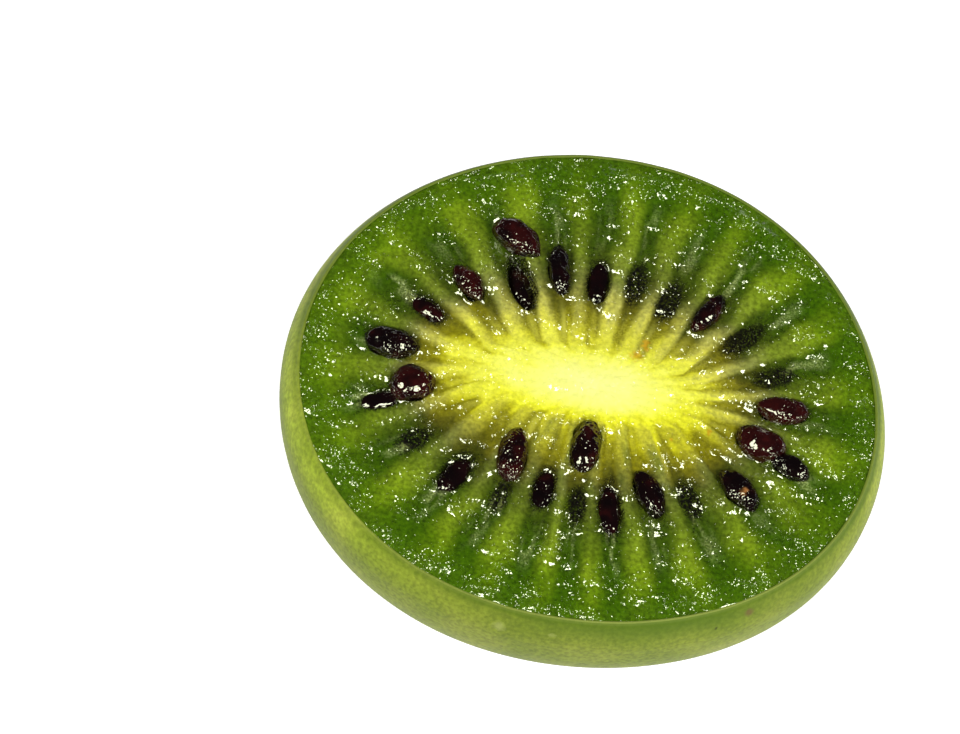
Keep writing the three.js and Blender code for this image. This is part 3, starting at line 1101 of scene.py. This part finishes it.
def leaning_facets(tree, share):
    """The height of tiny flat facets, of which a share lean, each its own way."""
    where = object_place(tree)
    drift = add(tree, "TexNoise", {"Vector": where, "Scale": DRIFTS, "Detail": 0.0}).outputs["Color"]
    drift = add(tree, "VectorMath", {0: drift, "Scale": FACET_DRIFT}, operation="SCALE").outputs[0]
    where = vector_node(tree, "ADD", where, drift)
    cells = add(tree, "TexVoronoi", {"Vector": where, "Scale": FACETS})
    offset = vector_node(tree, "SUBTRACT", where, cells.outputs["Position"])
    lean = vector_node(tree, "SUBTRACT", cells.outputs["Color"], (0.5, 0.5, 0.5))
    tilted = vector_node(tree, "DOT_PRODUCT", offset, lean, "Value")
    chance = add(tree, "SeparateColor", {"Color": cells.outputs["Color"]}).outputs["Blue"]
    leaning = math_node(tree, "LESS_THAN", chance, share)
    return times(tree, times(tree, tilted, leaning), 2 * FACET_SLOPE)


def wet_film(tree, shader, wet, waves_per_metre, wave_depth, film_index):
    """A clear coat of juice with slow waves and, where it is wet, leaning facets."""
    patches = span(tree, noise(tree, PATCHES), 0.4, 0.62, 0.1, 1.15)
    facets = leaning_facets(tree, times(tree, patches, wet))
    waves = times(tree, noise(tree, waves_per_metre, 0.5), patches)
    height = plus(tree, facets, times(tree, waves, wave_depth))
    tree.links.new(bump(tree, height, 1.0), shader.inputs["Coat Normal"])
    set_inputs(shader, {"Coat Weight": 1.0, "Coat Roughness": FILM_ROUGHNESS, "Coat IOR": film_index})


print("facets to a millimetre:", FACETS * MM)

# %% [markdown]
# ## Flesh and core finish
# From the core outwards the flesh goes from bright yellow through olive to deep green. The rays stay paler
# and yellower than the chambers between them, and a painted glow of light through the flesh makes the near
# side of the core the most golden. Past the seeds each chamber has a frosted streak of empty pulp, sunk
# seeds show as dark blotches, painted shade darkens the flesh round the bare seeds and in the hollow, and
# pale crumbs, with painted glints among them on the far side, and strands lie round the core. Two colour
# ramps along the reach, mixed by the ray mask, keep all of this in step with the relief. The core uses the
# same ramps with a reach below zero, so the two pieces meet without a seam.

# %% Flesh and core colours
CORE_REACH = 0.3
# Reach, then red, green and blue as the screen shows them
CORE_COLOURS = (
    (-1.0, 252, 252, 150), (-0.5, 250, 251, 120), (-0.3, 245, 246, 96), (-0.15, 234, 234, 70),
)
RAY_COLOURS = (
    (0.0, 228, 226, 78), (0.08, 208, 204, 79), (0.16, 186, 183, 80), (0.24, 156, 157, 72),
    (0.32, 128, 134, 60), (0.4, 122, 135, 46), (0.48, 120, 138, 35), (0.6, 118, 140, 27),
    (0.74, 120, 145, 22), (0.82, 107, 136, 14), (0.9, 84, 115, 5), (1.0, 74, 104, 8),
)
CHAMBER_COLOURS = (
    (0.0, 184, 180, 26), (0.08, 122, 118, 12), (0.16, 125, 121, 20), (0.24, 92, 90, 19),
    (0.32, 66, 70, 13), (0.4, 60, 72, 11), (0.48, 59, 75, 9), (0.56, 55, 76, 7),
    (0.7, 54, 82, 3), (0.8, 53, 85, 1), (0.9, 60, 94, 2), (1.0, 66, 98, 6),
)
SPECK_COLOURS = ((0.0, 236, 232, 60), (0.3, 176, 176, 80), (0.6, 184, 198, 118), (1.0, 132, 160, 66))
STRAND = linear(236, 232, 84)
# Takes out blue for the painted glow of light through the flesh on the near side.
NEAR_GLOW_TONE = (1, 1, 0.42, 1)
STAIN = linear(212, 150, 24)
# Dark of covered seeds, also laid as painted shade round bare seeds and in the hollow.
COVERED_SEED_AND_SHADE = linear(11, 8, 6)


def along_ramp(stops):
    """Colour stops by reach, moved to a ramp that starts in the middle of the core."""
    moved = []
    for reach, *colour in stops:
        scale = CORE_REACH if reach < 0 else 1 - CORE_REACH
        moved.append((CORE_REACH + reach * scale, *colour))
    return moved


print("ramp stops:", len(CORE_COLOURS + RAY_COLOURS), "and", len(CORE_COLOURS + CHAMBER_COLOURS))

# %% Flesh and core finish
PULP_GRAINS = 3600.0
PULP_BUMP = 0.04 * MM
PULP_WAVES = 2300.0
PULP_FILM_INDEX = 2.0


def pulp_colour(tree, texture):
    """The colour of the pulp, from the core's middle to the skin."""
    reach = attribute(tree, "reach")
    inside = times(tree, math_node(tree, "MINIMUM", reach, 0.0), CORE_REACH)
    outside = times(tree, math_node(tree, "MAXIMUM", reach, 0.0), 1 - CORE_REACH)
    from_middle = plus(tree, plus(tree, inside, outside), CORE_REACH)
    from_middle = plus(tree, from_middle, span(tree, texture.outputs["Mottle"], 0.2, 0.8, -0.05, 0.05))
    chambers = ramp(tree, from_middle, along_ramp(CORE_COLOURS + CHAMBER_COLOURS))
    rays = ramp(tree, from_middle, along_ramp(CORE_COLOURS + RAY_COLOURS))
    colour = mix(tree, attribute(tree, "ray"), chambers, rays)
    mottle = span(tree, noise(tree, 1.6 * PULP_GRAINS, 2.5), 0.3, 0.7, 0.62, 1.36)
    colour = mix(tree, span(tree, reach, -0.5, 0.45, 0.12, 1.0), colour, mottle, "MULTIPLY")
    # Painted glow of light through the flesh: more golden on the near side round the core.
    colour = mix(tree, attribute(tree, "painted_near_glow"), colour, NEAR_GLOW_TONE, "MULTIPLY")
    colour = laid_over(tree, colour, "strand", STRAND)
    speckle = texture.outputs["Speckle"]
    uncovered = span(tree, speckle, 0.2, 1.0, 1.0, 0.35)
    # Covered seeds show dark here, and painted shade darkens round bare seeds and in the hollow.
    colour = laid_over(tree, colour, "covered_seed_and_shade", COVERED_SEED_AND_SHADE, uncovered)
    fog = span(tree, speckle, 0.0, 0.85, 0.25, 1.0)
    colour = laid_over(tree, colour, "speck", ramp(tree, reach, SPECK_COLOURS), fog)
    return laid_over(tree, colour, "stain", STAIN)


def pulp_finish(name, wave_depth):
    finish, tree, shader = new_finish(name)
    texture = grain(tree, PULP_GRAINS)
    lay_surface(tree, shader, pulp_colour(tree, texture), texture.outputs["Height"], PULP_BUMP)
    set_inputs(shader, {
        "Roughness": 0.5, "Specular IOR Level": 0.0, "Subsurface Weight": 0.25,
        "Subsurface Radius": (1.0, 0.9, 0.3), "Subsurface Scale": 0.2 * MM,
    })
    wet_film(tree, shader, attribute(tree, "wet"), PULP_WAVES, wave_depth, PULP_FILM_INDEX)
    return finish


flesh.data.materials.append(pulp_finish("wet flesh", 0.34 * MM))
core.data.materials.append(pulp_finish("moist core", 0.22 * MM))
print("pulp finishes:", flesh.data.materials[0].name, "and", core.data.materials[0].name)

# %% [markdown]
# ## Skin finish
# The skin is a yellow green with a fine mottle and a soft sheen. Just under the cut it is darker, with
# painted shade on the front, painted light makes the left and right sides paler, and the pale cut edge has
# a painted highlight along the front. It has a few dark specks, a small corky scab and a pale scratch,
# where it rubbed on a branch. A random spatter could fall anywhere, so each of them is a spot at its own
# place.

# %% Skin spots
DARK, RED, CORK, SCRATCH = (44, 48, 16), (96, 44, 24), (96, 76, 40), (164, 170, 92)
# Angle round the fruit, height and radius in millimetres, how strongly it shows, and its colour
SKIN_SPOTS = (
    (217, 7.18, 0.09, 0.8, DARK), (205, 7.6, 0.08, 0.8, RED), (260.5, 6.43, 0.08, 0.7, DARK),
    (300.5, 8.16, 0.07, 0.8, DARK), (295, 8.44, 0.06, 0.7, DARK), (294, 6.59, 0.07, 0.6, DARK),
    (330, 8.44, 0.06, 0.7, DARK), (307.5, 8.44, 0.2, 0.75, CORK), (269, 8.16, 0.16, 0.5, SCRATCH),
    (259, 8.02, 0.26, 0.4, SCRATCH), (48, 6.2, 0.08, 0.7, DARK), (96, 7.4, 0.07, 0.7, DARK),
    (131, 5.1, 0.09, 0.6, DARK), (160, 7.9, 0.06, 0.7, RED),
)
SPOT_RAGGED = 0.04 * MM


def skin_place(angle, height):
    """A place on the outer wall, from its angle round the fruit and its height in millimetres."""
    shares, heights = zip(*outer_wall)
    share = np.interp(height * MM, heights, shares)
    x, y = oval(FRUIT_LENGTH * share, FRUIT_WIDTH * share, math.radians(angle))
    return (x, y, height * MM)


def spotted(tree, colour):
    """A colour with every skin spot laid over it."""
    where = object_place(tree)
    ragged = span(tree, noise(tree, 7000.0), 0.3, 0.7, -SPOT_RAGGED, SPOT_RAGGED)
    for angle, height, radius, strength, tone in SKIN_SPOTS:
        gap = vector_node(tree, "DISTANCE", where, skin_place(angle, height), "Value")
        gap = plus(tree, gap, ragged)
        spot = span(tree, gap, 1.4 * radius * MM, 0.5 * radius * MM, 0.0, strength)
        colour = mix(tree, spot, colour, linear(*tone))
    return colour


print("skin spots:", len(SKIN_SPOTS))

# %% Skin finish
SKIN_GRAINS = 3600.0
SKIN_BUMP = 0.01 * MM
SKIN_COLOURS = ((0.3, 98, 113, 21), (0.5, 108, 121, 28), (0.7, 120, 130, 37))
# Mottles: clouds to a metre, detail, and the darkest and lightest tone that they multiply the colour by
SKIN_MOTTLES = ((5200.0, 2.0, 0.74, 1.26), (110.0, 1.0, 0.94, 1.05))
SIDE_LIGHT_TONE = (1.8, 1.8, 1.7, 1)
UNDER_CUT = linear(66, 92, 12)
CUT_EDGE_AND_HIGHLIGHT = linear(158, 166, 80)


def skin_finish():
    finish, tree, shader = new_finish("smooth skin")
    texture = grain(tree, SKIN_GRAINS)
    colour = ramp(tree, noise(tree, 420.0, 4.0), SKIN_COLOURS)
    for clouds, detail, darkest, lightest in SKIN_MOTTLES:
        mottle = span(tree, noise(tree, clouds, detail), 0.3, 0.7, darkest, lightest)
        colour = mix(tree, 1.0, colour, mottle, "MULTIPLY")
    # Painted light: the left and right sides are lightened where the pale mask says.
    pale = mix(tree, attribute(tree, "pale"), WHITE, SIDE_LIGHT_TONE)
    colour = mix(tree, 1.0, colour, pale, "MULTIPLY")
    # Darker just under the cut, with painted shade on the front.
    colour = laid_over(tree, colour, "under", UNDER_CUT, 0.9)
    # The cut edge's pale line, with a painted highlight along the front.
    colour = laid_over(tree, colour, "edge", CUT_EDGE_AND_HIGHLIGHT, 0.5)
    lay_surface(tree, shader, spotted(tree, colour), texture.outputs["Height"], SKIN_BUMP)
    set_inputs(shader, {"Roughness": 0.55, "Specular IOR Level": 0.14})
    return finish


skin.data.materials.append(skin_finish())
print("skin finish:", skin.data.materials[0].name)

# %% [markdown]
# ## Seed finish
# The seed coat is maroon, nearly black in its pits, and wet. Covered seeds are darker than bare ones. One
# seed has a pale fleck, where the coat is torn. The pits and the fleck are stored on the corners, so the
# colour sits on the real dents.

# %% Seed finish
SEED_GRAINS = 9000.0
SEED_BUMP = 0.02 * MM
SEED_WAVES = 5200.0
SEED_WET = 0.2
SEED_FILM_INDEX = 1.8
COAT_COLOURS = ((0.0, 9, 2, 3), (0.5, 22, 4, 5), (1.0, 54, 12, 10))
COAT_PIT = linear(5, 2, 3)
TORN_COAT = linear(176, 118, 60)


def seed_finish():
    finish, tree, shader = new_finish("seed coat")
    texture = grain(tree, SEED_GRAINS)
    ripe = plus(tree, attribute(tree, "tint"), span(tree, noise(tree, 1500.0), 0.3, 0.7, -0.4, 0.4))
    colour = ramp(tree, ripe, COAT_COLOURS)
    colour = laid_over(tree, colour, "pit", COAT_PIT, 0.5)
    colour = laid_over(tree, colour, "fleck", TORN_COAT)
    lay_surface(tree, shader, colour, texture.outputs["Height"], SEED_BUMP)
    set_inputs(shader, {"Roughness": 0.5, "Specular IOR Level": 0.0})
    wet_film(tree, shader, SEED_WET, SEED_WAVES, 0.1 * MM, SEED_FILM_INDEX)
    return finish


seeds.data.materials.append(seed_finish())
print("seed finish:", seeds.data.materials[0].name)

# %% [markdown]
# ## Joining the frame
# Every piece rides on the one body of the part, and the CAD solid that it stands for is hidden.

# %% Frame
for piece, node, slot in ((skin, "flesh", "skin"), (flesh, "flesh", "flesh"), (seeds, "flesh", "seed"),
                          (core, "core", "core")):
    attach(piece, "root")
    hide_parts(node)
